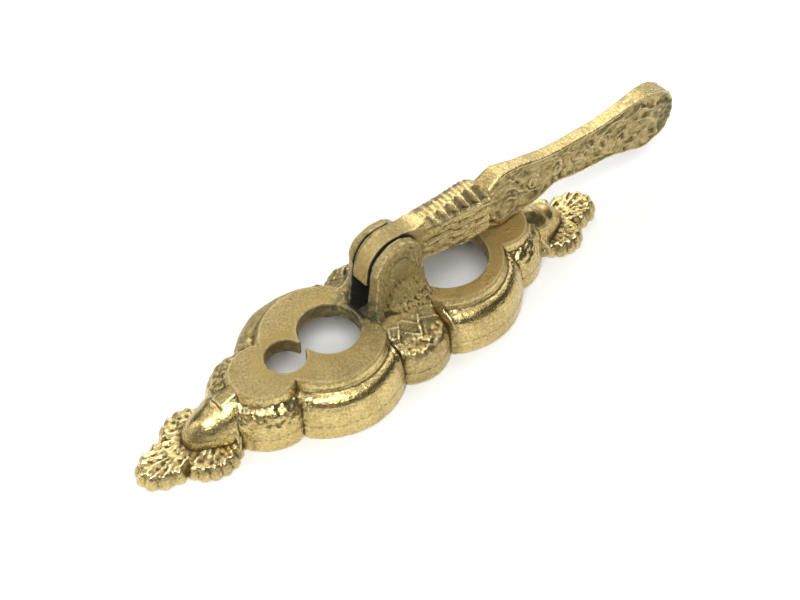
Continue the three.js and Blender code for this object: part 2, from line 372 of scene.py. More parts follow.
def strap(x, y):
    """Height of the band that runs from the ears' feet down to the middle scallops."""
    out = np.abs(y)
    slope = np.interp(out, STRAP_OUT, STRAP_FALL)
    chord = np.sqrt(np.maximum(MIDDLE.radius ** 2 - x ** 2, 0.0))
    inset = (MIDDLE.y + chord - out) * chord / MIDDLE.radius
    bulge = np.interp(inset, RIM_INSET[:ROUND_END] + [6.0], MIDDLE_RIM[:ROUND_END] + [14.0])
    height = blend_min(slope, bulge, 1.6)
    on_round = step_up(inset, *ROUND_START) * step_up(out, 11.9, 13.2)
    blow = hammered(x, y, STRAP_MARKS.blow_size, "strap_blows")
    mark = ridge(line_distance(x, -out, INCISED), STRAP_MARKS.incised_width)
    height = height + on_round * (STRAP_MARKS.blows * blow - STRAP_MARKS.incised * mark)
    return height + STRAP_MARKS.lines * strap_lines(x, out)


# Lines on the strap: a small square and a longer lozenge beside it, the ledge lines that run on from the
# table's rim, and an incised stroke on the round below.
SMALL_SQUARE = [(-6.4, -9.0), (-3.9, -9.7), (-5.2, -11.6), (-7.5, -10.7), (-6.4, -9.0)]
LOZENGE = [(-4.3, -10.4), (-3.5, -8.9), (-2.3, -9.0), (1.6, -11.4), (0.4, -13.4), (-4.3, -10.4)]
LEDGES = [[(2.2, -9.7), (0.4, -13.4)], [(2.3, -10.4), (7.6, -12.0)], [(3.7, -8.8), (7.6, -9.9)]]
INCISED = [(-0.8, -14.2), (0.9, -16.2), (2.0, -15.6)]


def strap_lines(x, out):
    """Raised lines of the strap's ornament, the same on both sides of the plate."""
    nearest = line_distance(x, -out, SMALL_SQUARE)
    for line in [LOZENGE] + LEDGES:
        nearest = np.minimum(nearest, line_distance(x, -out, line))
    return ridge(nearest, STRAP_MARKS.line_width)


def drift(x):
    """How far the ends of the casting stray sideways from its straight middle line."""
    stray = np.interp(np.abs(x), [0.0, 42.0, 50.0, 60.0, 72.5], [0.0, 0.4, 1.2, 1.6, 1.9])
    return np.where(x < 0, stray, -0.6 * stray)


# A leaf has two side lobes and a tip. The edge of each lobe is a row of rounds, and its veins spread from
# a root. Every size is on the +X end, with y as the distance from the leaf's middle line.
SIDE_LOBE = Sizes(centre=(55.3, 3.4), reach=(6.2, 5.9), angles=(140, 115, 92, 70, 48, 26),
                  base=(47.0, 5.0), root=(50.0, 1.5))
TIP_LOBE = Sizes(centre=(63.6, 0.0), reach=(7.2, 4.6), angles=(84, 55, 28, 0), base=(57.0, 2.6),
                 root=(57.0, 0.0))
LOBE = Sizes(middle_line=-1.0, outset=1.35, round=1.85, notch=0.25)
LEAF_INSET = [-3.0, 0.0, 0.35, 0.85, 1.3, 1.9, 3.0, 4.4, 6.4, 30.0]
LEAF_HEIGHT = [-45.0, 0.0, 1.5, 2.7, 3.35, 3.35, 3.2, 3.4, 4.0, 4.3]
VEIN = Sizes(height=0.3, half=0.62, sunk=0.12, bend=0.6, bend_size=1.9, crinkle=0.24, crinkle_size=1.3)


def lobe_rounds(lobe):
    """Centres of the rounds along a lobe's edge."""
    (centre_x, centre_y), (reach_x, reach_y) = lobe.centre, lobe.reach
    turns = [math.radians(angle) for angle in lobe.angles]
    return [(centre_x + reach_x * math.cos(turn), centre_y + reach_y * math.sin(turn)) for turn in turns]


def lobe_height(across, out, lobe, kind):
    """Height of a lobe: a scalloped edge, a raised rim, and crinkled metal with veins."""
    rounds = lobe_rounds(lobe)
    base_x, base_y = lobe.base
    middle = LOBE.middle_line
    body = np.array([(base_x, middle), (base_x, base_y)] + rounds + [(rounds[-1][0], middle)])
    distance = outline_distance(across, out, body) - LOBE.outset
    for round_x, round_y in rounds:
        one_round = np.hypot(across - round_x, out - round_y) - LOBE.round
        distance = blend_min(distance, one_round, LOBE.notch)
    height = np.interp(-distance, LEAF_INSET, LEAF_HEIGHT)
    bent_x = across + VEIN.bend * noise(across, out, 0, VEIN.bend_size, kind)
    bent_y = out + VEIN.bend * noise(across, out, 0, VEIN.bend_size, kind, 2)
    nearest = np.inf
    for end in rounds:
        nearest = np.minimum(nearest, segment_distance(bent_x, bent_y, lobe.root, end))
    crinkle = noise(across - out, across + out, 0, VEIN.crinkle_size, kind, 1)
    veins = VEIN.height * ridge(nearest, VEIN.half) - VEIN.sunk + VEIN.crinkle * crinkle
    return height + step_up(-distance, 0.2, 1.2) * veins


def leaf(x, y):
    """Height of both leaves."""
    across, out = np.abs(x), np.abs(y - drift(x))
    side = lobe_height(across, out, SIDE_LOBE, "side_lobe")
    tip = lobe_height(across, out, TIP_LOBE, "tip_lobe")
    return np.maximum(side, tip)


BOSS = Sizes(x=45.4, reach=14.0, half=6.8, foot=3.0, rise=9.0)
BOSS_END = 43.6  # where the boss meets the small scallop
BEAD = Sizes(height=0.7, at=0.99, half=0.04)
SADDLE = Sizes(x=52.6, half=1.5, depth=0.45)
COLLAR = Sizes(x=49.6, half=0.4, depth=0.15)
FLAT = Sizes(height=14.2, fall=0.43, start=43.8, half=1.4, side_fall=1.2)
BOSS_WAVES = Sizes(size=2.6, height=0.4)
NOTHING = -50.0  # a height far below the plate's back


def boss(x, y):
    """Height of the round-nosed bosses, each with a bead along its foot and a flat up to the table."""
    across, out = np.abs(x), np.abs(y - drift(x))
    round_off = np.hypot((across - BOSS.x) / BOSS.reach, out / BOSS.half)
    dome = BOSS.foot + BOSS.rise * np.sqrt(np.maximum(1.0 - round_off ** 2, 0.0))
    collar = ridge(across - COLLAR.x, COLLAR.half) * step_down(out, 1.5, 3.0)
    dome = dome - SADDLE.depth * ridge(across - SADDLE.x, SADDLE.half) - COLLAR.depth * collar
    waves = BOSS_WAVES.height * noise(x, y, 0, BOSS_WAVES.size, "boss")
    dome = dome + waves * step_up(1.0 - round_off, 0.05, 0.3)
    height = np.where(round_off < 1.0, dome, BOSS.foot - 30.0 * (round_off - 1.0))
    height = height + BEAD.height * ridge(round_off - BEAD.at, BEAD.half)
    flat = FLAT.height - FLAT.fall * (across - FLAT.start)
    flat = flat - FLAT.side_fall * np.maximum(out - FLAT.half, 0.0)
    height = blend_max(height, np.where(across < COLLAR.x, flat, NOTHING), 0.9)
    start = np.maximum(BOSS_END, BOSS_END - 1.0 + 0.85 * out)
    height = height - 0.8 * ridge(across - start - 0.3, 0.5)
    return np.where(across > start, height, NOTHING)


STRAP_GROOVE = Sizes(depth=0.8, half=0.38)
STRAP_BORDER = Sizes(height=0.55, half=0.38, away=1.0)


def plate_height(x, y):
    """Height of the plate's top surface."""
    across, out = np.abs(x), np.abs(y)
    height = np.where(across < MIDDLE.half, strap(x, y), scallops(x, y))
    past_strap = across - MIDDLE.half
    groove = ridge(past_strap, STRAP_GROOVE.half) * step_up(out, 8.2, 9.4)
    border = ridge(past_strap - STRAP_BORDER.away, STRAP_BORDER.half)
    border = border * step_up(out, 10.6, 11.4) * step_down(out, 16.6, 17.2)
    height = height - STRAP_GROOVE.depth * groove + STRAP_BORDER.height * border
    height = np.maximum(height, leaf(x, y))
    return np.maximum(height, boss(x, y))


def plate_steepness(x, y, reach=0.06):
    """How far the top surface leans, as the length of the slope of (z - height)."""
    lean_x = (plate_height(x + reach, y) - plate_height(x - reach, y)) / (2 * reach)
    lean_y = (plate_height(x, y + reach) - plate_height(x, y - reach)) / (2 * reach)
    return np.sqrt(1.0 + lean_x ** 2 + lean_y ** 2)


KEYHOLE = Sizes(large_x=-17.3, large_r=7.7, small_x=-30.4, small_r=5.0, neck=1.2)
ROUND_HOLE = Sizes(x=19.6, r=11.1)
SLOT_ENDS = (-8.4, 7.2)  # where it is cut through the table
PAST_EARS = 20.0


def piercings(x, y):
    """Signed distance in plan to the keyhole and the round hole, negative in them."""
    large = np.hypot(x - KEYHOLE.large_x, y) - KEYHOLE.large_r
    small = np.hypot(x - KEYHOLE.small_x, y) - KEYHOLE.small_r
    middle = (KEYHOLE.large_x + KEYHOLE.small_x) / 2
    half = (KEYHOLE.large_x - KEYHOLE.small_x) / 2
    neck = np.maximum(np.abs(x - middle) - half, np.abs(y) - KEYHOLE.neck)
    round_hole = np.hypot(x - ROUND_HOLE.x, y) - ROUND_HOLE.r
    return np.minimum(np.minimum(large, small), np.minimum(neck, round_hole))


WALL = Sizes(foot=3.4, lean=2.4)
WAIST = Sizes(half_width=12.5, half_length=9.0)


def back_hollow(x, y, z):
    """Signed distance to the hollow behind the table, negative in it."""
    waist = np.minimum(WAIST.half_width - np.abs(y), WAIST.half_length - np.abs(x)) + WALL.foot
    inset = np.maximum(np.maximum(*scallop_insets(x, y)), waist)
    wall = WALL.foot + WALL.lean * np.clip(z / TABLE_UNDERSIDE, 0.0, 1.0)
    return blend_max(wall - inset, z - TABLE_UNDERSIDE, 1.5)


def ear_outline():
    """The arch of an ear, seen from the side, flaring towards its foot."""
    turns = np.radians(np.linspace(-4, 184, 30))
    arch = [(PIVOT_X + EAR_RADIUS * math.cos(t), PIVOT_Z + EAR_RADIUS * math.sin(t)) for t in turns]
    left = [(-7.7, 21.0), (-8.3, 15.6), (-8.6, 13.0)]
    right = [(10.2, 13.0), (9.2, 14.6), (8.6, 18.0)]
    return np.array(arch + left + right)


EAR_OUTLINE = ear_outline()
EAR_HOLLOW = [(0.3, 21.4), (-1.3, 19.1), (-2.9, 16.1), (-4.5, 12.5)]
FOOT_RIB = [(3.0, 19.0), (5.0, 15.5), (6.5, 13.5)]


EAR = Sizes(half=5.4, flare_from=22.0, flare_depth=8.5, flare=1.1, more_flare=2.0)
EAR_RELIEF = Sizes(hollow=0.95, hollow_width=2.1, rib=0.35, rib_width=1.3, blows=0.46, blow_size=0.62,
                   grain=0.1, grain_size=0.9, scores=0.16, streaks=0.12)
BEVEL = Sizes(width=3.0, slope=2.3, left=-7.5, lean=0.09, level=25.0, top=6.0)


def ear_scores(x, z):
    """Scratches along the arch and streaks down the foot of an ear."""
    from_pivot = off_pivot(x, z)
    turn = np.arctan2(z - PIVOT_Z, x - PIVOT_X)
    on_arch = step_up(from_pivot, 4.2, 5.2) * step_up(z, 21.0, 24.0)
    around = noise(from_pivot * 2.4, turn * 2.2, 0, 1.0, "arch_scores")
    down = noise(x * 1.6 + z * 0.5, 0, z * 0.5, 1.0, "foot_streaks")
    return EAR_RELIEF.scores * on_arch * around + EAR_RELIEF.streaks * (1.0 - on_arch) * down


def ear_half_width(x, z):
    """How far an ear's outer face stands from the plate's middle line."""
    depth = np.clip((EAR.flare_from - z) / EAR.flare_depth, 0.0, 1.0)
    flare = depth ** 2 * (EAR.flare + EAR.more_flare * step_up(x, -3.0, 2.5))
    hollow = ridge(line_distance(x, z, EAR_HOLLOW), EAR_RELIEF.hollow_width)
    rib = ridge(line_distance(x, z, FOOT_RIB), EAR_RELIEF.rib_width)
    punched = EAR_RELIEF.blows * step_up(x, -2.5, 0.5) * step_down(z, 15.8, 18.2)
    stipple = punched * hammered(x, z, EAR_RELIEF.blow_size, "ear_blows")
    grain = noise(x, 0, z, EAR_RELIEF.grain_size, "ear_grain")
    width = EAR.half + flare - EAR_RELIEF.hollow * hollow + EAR_RELIEF.rib * rib
    width = width + stipple + EAR_RELIEF.grain * grain + ear_scores(x, z)
    left = BEVEL.left - BEVEL.lean * (BEVEL.level - z)
    bevel = BEVEL.width + BEVEL.slope * (x - left) + BEVEL.top * step_up(z, 26.5, 32.0)
    return blend_min(width, bevel, 0.25)


RING = Sizes(depth=0.2, away=0.3, half=0.42)


def pin_ring(x, z):
    """The shallow ring round the pin's filed end."""
    from_pin = off_pivot(x, z) - PIN_RADIUS
    return RING.depth * ridge(from_pin - RING.away, RING.half)


def ears(x, y, z):
    """Signed distance to both ears, before the slot is cut."""
    profile = outline_distance(x, z, EAR_OUTLINE)
    profile = profile + 0.14 * noise(x, y, z, 1.6, "ear_edge")
    profile = profile + 0.12 * noise(x, y * 0.6, z, 0.7, "ear_fine_edge")
    face = np.abs(y) - ear_half_width(x, z) + pin_ring(x, z)
    return blend_max(profile, face, 1.1)


def slot(x, y, z):
    """Signed distance to the slot between the ears, which runs down through the table."""
    middle = (SLOT_ENDS[0] + SLOT_ENDS[1]) / 2
    half = np.where(z > TABLE_Z, PAST_EARS, (SLOT_ENDS[1] - SLOT_ENDS[0]) / 2)
    through = blend_max(np.abs(x - middle) - half, np.abs(y) - SLOT_HALF, 0.4)
    bore = off_pivot(x, z) - PIN_RADIUS - PIN_GAP
    return np.minimum(through, bore)


DENTS = Sizes(depth=0.34, size=1.7, fine_size=0.9, on_middle=0.8)
SET_BACK = 0.22  # of the rounds behind the skirt


def dents(x, y, z):
    """How far the rounds lie behind the skirt, with dents of a punch, most of all near the creases."""
    large, small = scallop_insets(x, y)
    across = np.abs(x)
    punched = np.where(small > large, 1.0, ridge(large - small, CREASE.rough_reach))
    punched = punched * step_up(across, 8.0, 9.0)
    punched = np.maximum(punched, DENTS.on_middle * step_down(across, 7.0, 8.0))
    above_skirt = step_up(z, SKIRT_TOP - 0.3, SKIRT_TOP + 0.3) * step_down(across, 47.0, 48.0)
    set_back = SET_BACK * step_down(z, 7.0, 11.5)
    blow = BROAD_BLOW * noise(x, y, z, DENTS.size, "dents")
    blow = blow + FINE_BLOW * noise(x, y, z, DENTS.fine_size, "fine_dents")
    return above_skirt * (set_back + DENTS.depth * step_down(z, 9.0, 11.5) * punched * blow)


def plate_distance(x, y, z):
    """Signed distance to the backplate."""
    top = (z - plate_height(x, y)) / plate_steepness(x, y) + dents(x, y, z)
    body = np.maximum(top, -z)
    body = blend_max(body, -back_hollow(x, y, z), 0.5)
    body = blend_max(body, -piercings(x, y), 0.5)
    body = blend_min(body, ears(x, y, z), 0.8)
    return blend_max(body, -slot(x, y, z), 0.3)


# ---------------- the lever

EYE_RADIUS = 7.3
EYE_HALF = 2.5
EYE_SHIFT = 0.38  # the eye sits towards the far ear
NECK_END = 31.0  # the step from the neck to the blade
RIB_START, RIB_PITCH, RIB_LEAN = 14.6, 3.1, 0.4


def lever_outline():
    """The lever seen from the side: eye, ribbed neck, step, blade and rounded end."""
    turns = np.radians(np.linspace(176, 74, 18))
    eye = [(PIVOT_X + EYE_RADIUS * math.cos(t), PIVOT_Z + EYE_RADIUS * math.sin(t)) for t in turns]
    neck_top = smooth_line([(5.5, 33.5), (9.0, 33.3), (12.0, 33.1), (15.0, 33.0), (18.5, 33.5),
                            (22.0, 34.0), (26.0, 34.1), (28.5, 33.4), (30.6, 31.6)], 5)
    blade_top = smooth_line([(31.4, 30.6), (33.5, 31.9), (36.0, 32.7), (39.0, 32.2), (44.0, 31.0),
                             (53.0, 28.6), (64.0, 27.6), (75.0, 27.4), (84.0, 28.2), (90.5, 28.6),
                             (96.0, 27.0), (99.6, 23.2), (LEVER_TIP - 0.1, 18.2)], 7)
    blade_foot = smooth_line([(LEVER_TIP - 0.5, 15.2), (98.6, 12.2), (95.5, 10.7), (90.4, 9.8),
                              (84.0, 11.7), (76.0, 13.8), (64.0, 15.3), (57.0, 17.0), (51.0, 15.4),
                              (44.0, 14.6), (38.0, 14.9), (34.5, 16.2), (32.0, 17.6)], 6)
    neck_foot = smooth_line([(30.6, 18.6), (29.0, 17.8), (22.0, 19.2), (15.0, 21.0), (9.0, 22.0),
                             (4.0, 21.4), (-1.0, 21.4), (-4.5, 22.2), (-7.4, 23.6)], 4)
    return np.vstack([eye, neck_top, blade_top, blade_foot, neck_foot])


LEVER_OUTLINE = lever_outline()


def rib_phase(x, z):
    """Counts the ribs along the neck, a whole number on each. They lean towards the pivot as they rise."""
    return (x + RIB_LEAN * (z - 31.0) - RIB_START) / RIB_PITCH


def fine_ribs(phase):
    """Two fine ribs to each rib, 1 on a crest and 0 between."""
    return (0.5 + 0.5 * np.cos(4.0 * math.pi * phase)) ** 0.7


def rib_foot(x):
    """Height of the ribs' lower ends."""
    return 31.9 - 0.12 * (x - 13.0)


def curl(centre, radius, turns, start, hand):
    """A scroll that winds in towards its centre."""
    angles = np.linspace(0.0, turns * 2 * math.pi, int(10 * turns) + 2)
    shrink = 1.0 - 0.8 * angles / angles[-1]
    return np.stack([centre[0] + radius * shrink * np.cos(start + hand * angles),
                     centre[1] + radius * shrink * np.sin(start + hand * angles)], axis=1)


# Chased lines on the blade: leaf scrolls behind the neck, strokes along the middle, veins at the end.
STROKES = [
    [(33.0, 28.6), (36.5, 29.6), (41.0, 28.0), (45.0, 25.6), (50.0, 25.2)],
    [(33.6, 19.6), (36.0, 17.6), (40.0, 17.8), (43.0, 20.4)],
    [(34.5, 24.6), (38.0, 26.2), (42.0, 24.2), (46.0, 20.6), (51.0, 19.0)],
    [(36.0, 21.4), (39.5, 22.6), (42.5, 21.0)],
    [(44.0, 17.2), (48.0, 16.8), (52.0, 18.0)],
    [(57.0, 25.6), (61.0, 24.6), (62.0, 20.0), (60.0, 18.0)],
    [(72.0, 24.4), (77.0, 25.2), (82.0, 23.6), (87.0, 25.4)],
    [(72.0, 16.2), (76.0, 16.0), (79.0, 14.6)],
    [(85.0, 14.0), (89.0, 16.4), (92.6, 20.6), (94.0, 25.6)],
    [(86.0, 21.2), (90.0, 20.8), (94.4, 17.0), (95.6, 13.0)],
    [(88.0, 24.4), (91.0, 22.8), (96.4, 22.0)],
]
# Centre, radius, turns, starting angle and hand of each scroll between them.
CURLS = [((48.6, 22.4), 2.2, 1.2, 0.6, 1), ((56.6, 22.0), 2.9, 1.3, 2.8, -1),
         ((74.6, 20.8), 2.9, 1.2, 0.2, 1), ((81.8, 18.0), 2.9, 1.1, 3.4, -1)]
ROSETTE = Sizes(x=67.0, z=21.2, reach=2.1, petal=1.2)


def scroll_lines():
    """All the chased lines, with a rosette of six petals in the middle of the blade."""
    lines = [smooth_line(stroke, 4) for stroke in STROKES] + [curl(*each) for each in CURLS]
    for petal in range(6):
        turn = petal * math.pi / 3
        centre = (ROSETTE.x + ROSETTE.reach * math.cos(turn),
                  ROSETTE.z + ROSETTE.reach * math.sin(turn))
        lines.append(curl(centre, ROSETTE.petal, 0.8, turn + 2.2, 1))
    return lines


SCROLLS = scroll_lines()


CHASING = Sizes(bend=0.7, bend_size=2.4, line=0.85, line_half=0.85, fold=0.5, fold_size=3.0, grain=0.35,
                grain_size=1.3, deepest=-0.45)


def chased(x, z):
    """Relief of the blade's sides, from about -1 to 1: folded leaves, with scrolls over them."""
    bend_size = CHASING.bend_size
    bent_x = x + CHASING.bend * noise(x, 0, z, bend_size, "scroll_bend_x")
    bent_z = z + CHASING.bend * noise(x, 0, z, bend_size, "scroll_bend_z")
    nearest = np.inf
    for line in SCROLLS:
        nearest = np.minimum(nearest, line_distance(bent_x, bent_z, line))
    scroll = ridge(nearest, CHASING.line_half)
    folds = 1.0 - 2.4 * np.abs(noise(x * 0.7, 0, z, CHASING.fold_size, "folds"))
    grain = noise(x, 0, z, CHASING.grain_size, "ground")
    ground = np.maximum(CHASING.fold * folds - 0.15 + CHASING.grain * grain, CHASING.deepest)
    return CHASING.line * scroll - 0.25 + ground * (1.0 - 0.4 * scroll)


def woven(x, z):
    """Strokes that run along the neck below the ribs."""
    lean = z + 0.2 * x + 1.1 * noise(x, 0, z, 3.4, "stroke_bend")
    strokes = np.abs(np.sin(lean * 1.15)) ** 0.6
    broken = noise(x * 0.3, 0, z, 0.8, "strokes")
    return strokes - 0.6 + 0.8 * broken + 0.12 * noise(x, 0, z, 0.7, "stroke_grain")


# Along the neck: the height of its top line, and half its thickness below the ribs.
NECK_TOP = ([8, 12, 15, 18.5, 22, 26, 28.5, 31], [33.3, 33.1, 33.0, 33.5, 34.0, 34.1, 33.4, 31.2])
SHOULDER = ([4, 8, 12, 18, 26, 31], [2.8, 3.0, 3.3, 3.7, 4.15, 4.15])
STROKE_DEPTH = 0.5
UNDERCUT = 0.8  # how far the neck's foot draws in


def neck_side(x, z):
    """Half the neck's thickness: a domed top, and strokes below the ribs."""
    foot = rib_foot(x)
    up = np.clip((z - foot + 0.8) / (np.interp(x, *NECK_TOP) + 0.95 - foot), 0.0, 1.0)
    up = up * step_up(x, 5.0, 12.0)
    dome = np.interp(x, *SHOULDER) * np.sqrt(np.maximum(1.0 - up ** 2.3, 0.0))
    below = step_up(foot - z, 0.3, 1.1) * step_up(x, 6.0, 10.0)
    return dome + below * (STROKE_DEPTH * woven(x, z) - UNDERCUT * step_up(21.0 - z, 0.0, 4.0))


LINE_DEPTH = 0.28
TICK = Sizes(height=0.4, slope=0.4, half=0.26)
CELL_DEPTH = ([10, 14, 22], [0.3, 0.6, 0.85])


def rib_relief(x, y, z):
    """How far the ribbed part stands out: ribs with cells on the near shoulder, fine lines elsewhere."""
    phase = rib_phase(x, z)
    cell = (0.5 - 0.5 * np.cos(2 * math.pi * phase)) ** 0.55
    foot = rib_foot(x)
    near_side = 1.0 - 0.9 * step_up(y, 0.0, 0.5)
    on_shoulder = step_up(np.abs(y), 0.9, 1.7) * step_up(z, foot - 0.1, foot + 0.35) * near_side
    lines = (1.0 - fine_ribs(phase)) * (1.0 - on_shoulder) * step_up(z, foot, foot + 0.5)
    tick = ridge(z - foot + 0.1 - TICK.slope * (phase - np.round(phase)), TICK.half)
    return TICK.height * tick - np.interp(x, *CELL_DEPTH) * cell * on_shoulder - LINE_DEPTH * lines


BLADE_HALF = ([31, 36, 40, 44, 60, 80, 92, 101], [2.7, 2.6, 2.15, 1.85, 1.65, 1.8, 2.35, 2.35])
EDGE_BEAD = Sizes(height=0.16, inset=0.4, half=0.35)
PANEL = Sizes(relief=0.75, sunk=0.25, margin=(0.4, 1.6))


def lever_half_width(x, z, edge):
    """Half the lever's thickness. edge is how deep the point lies inside the side outline."""
    on_neck = step_up(off_pivot(x, z), 8.2, 10.4) * step_up(x, 0.0, 2.0)
    on_blade = step_up(x, NECK_END - 0.5, NECK_END + 0.3)
    bead = EDGE_BEAD.height * ridge(edge - EDGE_BEAD.inset, EDGE_BEAD.half)
    panel = step_up(edge, *PANEL.margin) * (PANEL.relief * chased(x, z) - PANEL.sunk)
    blade = np.interp(x, *BLADE_HALF) + bead + panel
    width = EYE_HALF + (neck_side(x, z) - EYE_HALF) * on_neck
    return width + (blade - width) * on_blade


LEAN_REACH = 0.1
STEEPEST = 6.0


def lever_distance(x, y, z):
    """Signed distance to the lever."""
    profile = outline_distance(x, z, LEVER_OUTLINE)
    rough = 0.18 * noise(x, y * 0.5, z, 1.8, "lever_edge")
    rough = rough + 0.14 * noise(x, y * 0.8, z, 0.8, "lever_fine_edge")
    past_eye = 0.5 + 0.5 * step_up(x, 8.0, 12.0)
    profile = profile + rough * past_eye * (1.0 - 0.6 * step_up(z - 27.0, 0.0, 1.0))
    centre = EYE_SHIFT * step_down(x, 3.2, 7.2)
    width = lever_half_width(x, z, -profile)
    lean = (width - lever_half_width(x, z + LEAN_REACH, -profile)) / LEAN_REACH
    face = (np.abs(y - centre) - width) / np.sqrt(1.0 + np.clip(lean, -STEEPEST, STEEPEST) ** 2)
    body = blend_max(profile, face, 0.4 + 0.9 * inside(x, NECK_END, 46.0, 3.0))
    on_ribs = step_up(x, 9.6, 11.4) * step_down(x, NECK_END - 0.6, NECK_END) * step_up(z, 28.5, 29.5)
    body = body - on_ribs * rib_relief(x, y, z)
    bore = off_pivot(x, z) - PIN_RADIUS - PIN_GAP
    return blend_max(body, -bore, 0.2)


# ---------------- meshes


def neighbour_mean(values, edges, count):
    """The mean of each vertex's neighbours' values."""
    total = np.zeros_like(values)
    for a, b in ((0, 1), (1, 0)):
        for column in range(values.shape[1]):
            total[:, column] += np.bincount(edges[:, a], values[edges[:, b], column], len(values))
    return total / count[:, None]


def relief(points, normals, edges, rounds):
    """How far each vertex stands above its smoothed surroundings, in millimetres."""
    count = np.maximum(np.bincount(edges.ravel(), minlength=len(points)), 1).astype(float)
    smoothed = points
    for _ in range(rounds):
        smoothed = 0.5 * smoothed + 0.5 * neighbour_mean(smoothed, edges, count)
    return ((points - smoothed) * normals).sum(axis=1)


def mesh_object(name, points, faces):
    """A smooth-shaded object from points in millimetres about the plate's middle."""
    mesh = bpy.data.meshes.new(name)
    placed = (points + [PLATE_X, 0.0, 0.0]) * MM
    mesh.vertices.add(len(placed))
    mesh.vertices.foreach_set("co", placed.ravel())
    mesh.loops.add(faces.size)
    mesh.loops.foreach_set("vertex_index", faces.ravel())
    mesh.polygons.add(len(faces))
    mesh.polygons.foreach_set("loop_start", np.arange(0, faces.size, faces.shape[1]))
    mesh.update(calc_edges=True)
    mesh.validate()
    mesh.shade_smooth()
    piece = bpy.data.objects.new(name, mesh)
    bpy.context.scene.collection.objects.link(piece)
    return piece


def add_attribute(piece, name, values):
    """A number for each vertex, which the material reads."""
    attribute = piece.data.attributes.new(name, "FLOAT", "POINT")
    attribute.data.foreach_set("value", values.astype(np.float32))


def add_looks(piece, **looks):
    """Vertex numbers from 0 to 1 for how a piece has aged."""
    for name, values in looks.items():
        add_attribute(piece, name, np.clip(values, 0.0, 1.0))


def mesh_facts(piece):
    """Points in millimetres about the plate's middle, normals and edges of an object's mesh."""
    mesh = piece.data
    points = np.empty(len(mesh.vertices) * 3)
    mesh.vertices.foreach_get("co", points)
    normals = np.empty(len(mesh.vertices) * 3)
    mesh.vertices.foreach_get("normal", normals)
    edges = np.empty(len(mesh.edges) * 2, dtype=np.int64)
    mesh.edges.foreach_get("vertices", edges)
    return points.reshape(-1, 3) / MM - [PLATE_X, 0.0, 0.0], normals.reshape(-1, 3), edges.reshape(-1, 2)


def sculpt(name, distance, low, high, step):
    """A casting as an object."""
    field, origin = sample(distance, low, high, step)
    points, faces = surface_net(field, origin, step)
    points = settle(points, distance, step)
    return mesh_object(name, points, faces)


FINE_ROUNDS, BROAD_ROUNDS = 4, 30  # of smoothing, for small and for larger hollows


def add_relief(piece):
    """Vertex numbers for fine and broad relief. Gives back the piece's points."""
    points, normals, edges = mesh_facts(piece)
    add_attribute(piece, "fine_relief", relief(points, normals, edges, FINE_ROUNDS))
    add_attribute(piece, "broad_relief", relief(points, normals, edges, BROAD_ROUNDS))
    return points


def make_plate(step):
    """The backplate, with numbers for where it is dull with tarnish and painted shade, near black with
    painted shade in the slot, green with verdigris and painted shade, warm in colour or rubbed bright.
    """
    low = (-HALF_LENGTH, -HALF_WIDTH - 1.0, 0.0)
    high = (HALF_LENGTH, HALF_WIDTH + 1.2, PIVOT_Z + EAR_RADIUS)
    piece = sculpt("cast_backplate", plate_distance, low, high, step)
    points = add_relief(piece)
    x, y, z = points.T
    out = np.abs(y)
    # The slot's walls up to the ears' tops are near black: painted shade where the ears close round the
    # lever.
    in_slot = step_down(out, 3.1, 3.5) * inside(x, -9.5, 9.5) * step_down(z, 33.4, 34.0)
    wall = ridge(piercings(x, y), 0.8) * step_down(z, 13.9, 14.3)
    below = step_down(z, 1.0, 3.0) * step_up(np.maximum(*scallop_insets(x, y)), 2.5, 3.5)
    on_strap = inside(x, -MIDDLE.half, MIDDLE.half)
    table = inside(z, TABLE_Z - 0.3, TABLE_Z + 0.2, 0.2) * (1.0 - on_strap)
    on_ear = step_up(z, 14.8, 16.5) * inside(x, -9.5, 10.5)
    ear_front = on_ear * step_down(x, -6.9, -5.9) * step_down(z, 24.0, 30.0)
    middle = on_strap * step_up(out, 8.0, 9.0) * step_down(z, 14.0, 14.6)
    far_rim = step_up(y, 8.0, 11.0) * step_down(z, 13.5, 14.2)
    groove = ridge(np.abs(x) - 8.2, 1.3) * step_up(out, 9.0, 11.0) * step_down(z, 13.6, 14.2)
    from_boss = np.hypot((np.abs(x) - BOSS.x) / BOSS.reach, (out - 1.0) / BOSS.half)
    boss_foot = ridge(from_boss - 1.05, 0.09) * step_down(z, 4.5, 6.0)
    near_table = table * step_up(x - 0.8 * y + 8.0, 0.0, 14.0)
    ends = step_up(np.abs(x), 48.0, 52.0)
    # Darker with tarnish on the ears, their fronts, the strap's round and the ends. Painted shade darkens
    # the piercings' walls, the groove by the strap, the bosses' feet and the table's near right under the
    # lever. The far rim and the low inside of the hollow back are darker too.
    tarnish = (0.35 * on_ear + 0.35 * ear_front + 0.4 * middle + 0.55 * far_rim + 0.12 * near_table
               + 0.1 * ends + 0.75 * wall + 0.6 * below + 0.7 * groove + 0.6 * boss_foot)
    foot = np.exp(-((np.hypot(x + 8.3, out - 4.3) / 3.2) ** 2)) * inside(z, 13.0, 19.0, 1.5)
    # Along the ear's hollow: partly green patina, partly painted shade of the hollow.
    foot = foot + 0.45 * on_ear * ridge(line_distance(x, z, EAR_HOLLOW), 1.7) * step_up(out, 5.0, 5.6)
    foot = foot + 0.5 * wall * inside(x, -16.0, -6.0, 2.0) + 0.5 * ear_front * step_down(z, 17.0, 23.0)
    near_hole = step_down(piercings(x, y), 0.5, 5.5)
    warm = table * (step_up(x, 4.0, 12.0) + 0.7 * near_hole * step_down(x, 0.0, 1.0))
    rubbed = 1.0 - on_strap * (0.15 + 0.5 * step_down(out, 9.0, 11.5))
    polish = rubbed * step_down(z, 13.3, 14.0) * (1.0 - 0.4 * far_rim)
    polish = polish * (1.0 - wall) + 0.2 * on_ear
    add_looks(piece, tarnish=tarnish, soot=in_slot, verdigris=foot, warmth=warm, polish=polish)
    return piece


